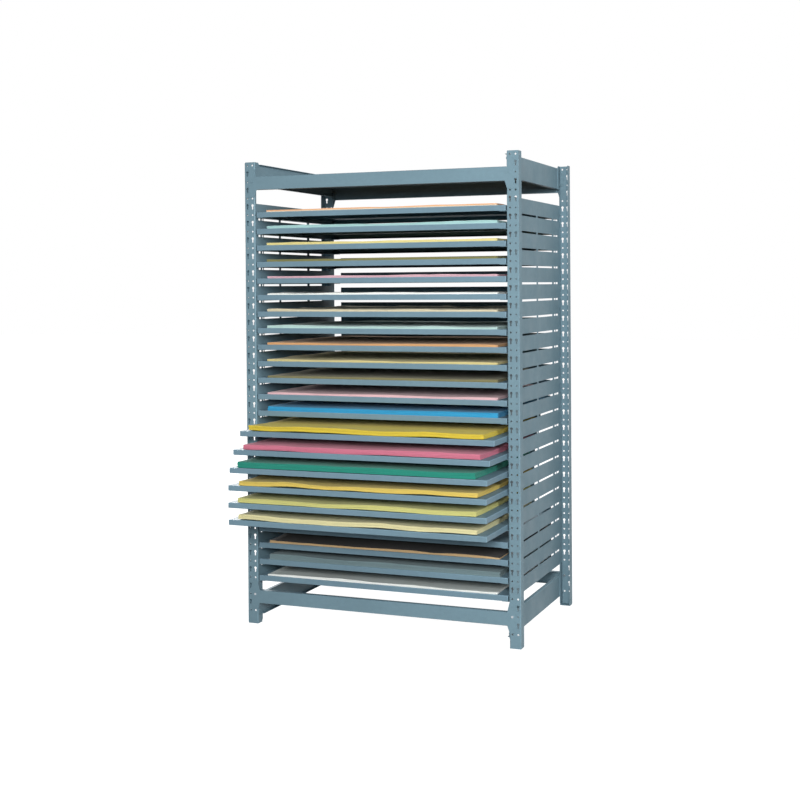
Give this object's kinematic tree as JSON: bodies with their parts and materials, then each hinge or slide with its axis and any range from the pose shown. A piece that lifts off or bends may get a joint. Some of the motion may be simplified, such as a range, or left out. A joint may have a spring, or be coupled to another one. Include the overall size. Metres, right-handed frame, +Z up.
{
  "type": "paper storage rack",
  "caption": "Open steel rack of perforated angle posts with a tall stack of shallow slide-out trays for flat sheets of paper, some drawn out to the front.",
  "frame": {"origin": "on the floor, in the middle of the whole outline as stored, with six trays drawn out", "axes": "+Z up, the open front that the trays slide out of faces -Y, +X to the right for someone facing the front"},
  "size_m": [1.295, 1.143, 2.1],
  "materials": {
    "frame": "blue-grey stoved enamel, satin",
    "tray": "blue-grey stoved enamel, satin",
    "board": "blue-grey stoved enamel, satin",
    "bolt": "bright zinc plate",
    "paper_orange": "uncoated dyed paper, matt",
    "paper_mint": "uncoated dyed paper, matt",
    "paper_yellow": "uncoated dyed paper, matt",
    "paper_olive": "uncoated dyed paper, matt",
    "paper_lilac": "uncoated dyed paper, matt",
    "paper_white": "uncoated dyed paper, matt",
    "paper_cream": "uncoated dyed paper, matt",
    "paper_tan": "uncoated dyed paper, matt",
    "paper_pale_yellow": "uncoated dyed paper, matt",
    "paper_moss": "uncoated dyed paper, matt",
    "paper_pink": "uncoated dyed paper, matt",
    "paper_blue": "uncoated dyed paper, matt",
    "paper_lemon": "uncoated dyed paper, matt",
    "paper_rose": "uncoated dyed paper, matt",
    "paper_green": "uncoated dyed paper, matt",
    "paper_gold": "uncoated dyed paper, matt",
    "paper_lime": "uncoated dyed paper, matt",
    "paper_slate": "uncoated dyed paper, matt"
  },
  "bodies": {
    "frame": {"post_front_left": "frame", "post_front_right": "frame", "post_rear_left": "frame", "post_rear_right": "frame", "bottom_beam_front": "frame", "bottom_beam_rear": "frame", "top_beam_front": "frame", "top_beam_rear": "frame", "bottom_ties": "frame", "top_ties": "frame", "rails_left": "frame", "rails_right": "frame", "feet": "frame", "frame_bolts": "bolt", "top_board": "board"},
    "drawer_01": {"tray_01": "tray", "paper_01": "paper_orange"},
    "drawer_02": {"tray_02": "tray", "paper_02": "paper_mint"},
    "drawer_03": {"tray_03": "tray", "paper_03": "paper_yellow"},
    "drawer_04": {"tray_04": "tray", "paper_04": "paper_olive"},
    "drawer_05": {"tray_05": "tray", "paper_05": "paper_lilac"},
    "drawer_06": {"tray_06": "tray", "paper_06": "paper_white"},
    "drawer_07": {"tray_07": "tray", "paper_07": "paper_cream"},
    "drawer_08": {"tray_08": "tray", "paper_08": "paper_mint"},
    "drawer_09": {"tray_09": "tray", "paper_09": "paper_tan"},
    "drawer_10": {"tray_10": "tray", "paper_10": "paper_pale_yellow"},
    "drawer_11": {"tray_11": "tray", "paper_11": "paper_moss"},
    "drawer_12": {"tray_12": "tray", "paper_12": "paper_pink"},
    "drawer_13": {"tray_13": "tray", "paper_13": "paper_blue"},
    "drawer_14": {"tray_14": "tray", "paper_14": "paper_lemon"},
    "drawer_15": {"tray_15": "tray", "paper_15": "paper_rose"},
    "drawer_16": {"tray_16": "tray", "paper_16": "paper_green"},
    "drawer_17": {"tray_17": "tray", "paper_17": "paper_gold"},
    "drawer_18": {"tray_18": "tray", "paper_18": "paper_lime"},
    "drawer_19": {"tray_19": "tray", "paper_19": "paper_pale_yellow"},
    "drawer_20": {"tray_20": "tray"},
    "drawer_21": {"tray_21": "tray", "paper_21": "paper_tan"},
    "drawer_22": {"tray_22": "tray", "paper_22": "paper_slate"},
    "drawer_23": {"tray_23": "tray", "paper_23": "paper_white"}
  },
  "joints": [
    {"name": "drawer_01_slide", "type": "slide", "parent": "frame", "child": "drawer_01", "axis": [0, -1, 0], "range_m": [0, 0.4]},
    {"name": "drawer_02_slide", "type": "slide", "parent": "frame", "child": "drawer_02", "axis": [0, -1, 0], "range_m": [0, 0.4]},
    {"name": "drawer_03_slide", "type": "slide", "parent": "frame", "child": "drawer_03", "axis": [0, -1, 0], "range_m": [0, 0.4]},
    {"name": "drawer_04_slide", "type": "slide", "parent": "frame", "child": "drawer_04", "axis": [0, -1, 0], "range_m": [0, 0.4]},
    {"name": "drawer_05_slide", "type": "slide", "parent": "frame", "child": "drawer_05", "axis": [0, -1, 0], "range_m": [0, 0.4]},
    {"name": "drawer_06_slide", "type": "slide", "parent": "frame", "child": "drawer_06", "axis": [0, -1, 0], "range_m": [0, 0.4]},
    {"name": "drawer_07_slide", "type": "slide", "parent": "frame", "child": "drawer_07", "axis": [0, -1, 0], "range_m": [0, 0.4]},
    {"name": "drawer_08_slide", "type": "slide", "parent": "frame", "child": "drawer_08", "axis": [0, -1, 0], "range_m": [0, 0.4]},
    {"name": "drawer_09_slide", "type": "slide", "parent": "frame", "child": "drawer_09", "axis": [0, -1, 0], "range_m": [0, 0.4]},
    {"name": "drawer_10_slide", "type": "slide", "parent": "frame", "child": "drawer_10", "axis": [0, -1, 0], "range_m": [0, 0.4]},
    {"name": "drawer_11_slide", "type": "slide", "parent": "frame", "child": "drawer_11", "axis": [0, -1, 0], "range_m": [0, 0.4]},
    {"name": "drawer_12_slide", "type": "slide", "parent": "frame", "child": "drawer_12", "axis": [0, -1, 0], "range_m": [0, 0.4]},
    {"name": "drawer_13_slide", "type": "slide", "parent": "frame", "child": "drawer_13", "axis": [0, -1, 0], "range_m": [0, 0.4]},
    {"name": "drawer_14_slide", "type": "slide", "parent": "frame", "child": "drawer_14", "axis": [0, -1, 0], "range_m": [-0.172, 0.228]},
    {"name": "drawer_15_slide", "type": "slide", "parent": "frame", "child": "drawer_15", "axis": [0, -1, 0], "range_m": [-0.235, 0.165]},
    {"name": "drawer_16_slide", "type": "slide", "parent": "frame", "child": "drawer_16", "axis": [0, -1, 0], "range_m": [-0.27, 0.13]},
    {"name": "drawer_17_slide", "type": "slide", "parent": "frame", "child": "drawer_17", "axis": [0, -1, 0], "range_m": [-0.282, 0.118]},
    {"name": "drawer_18_slide", "type": "slide", "parent": "frame", "child": "drawer_18", "axis": [0, -1, 0], "range_m": [-0.283, 0.117]},
    {"name": "drawer_19_slide", "type": "slide", "parent": "frame", "child": "drawer_19", "axis": [0, -1, 0], "range_m": [-0.28, 0.12]},
    {"name": "drawer_20_slide", "type": "slide", "parent": "frame", "child": "drawer_20", "axis": [0, -1, 0], "range_m": [0, 0.4]},
    {"name": "drawer_21_slide", "type": "slide", "parent": "frame", "child": "drawer_21", "axis": [0, -1, 0], "range_m": [0, 0.4]},
    {"name": "drawer_22_slide", "type": "slide", "parent": "frame", "child": "drawer_22", "axis": [0, -1, 0], "range_m": [0, 0.4]},
    {"name": "drawer_23_slide", "type": "slide", "parent": "frame", "child": "drawer_23", "axis": [0, -1, 0], "range_m": [0, 0.4]}
  ]
}
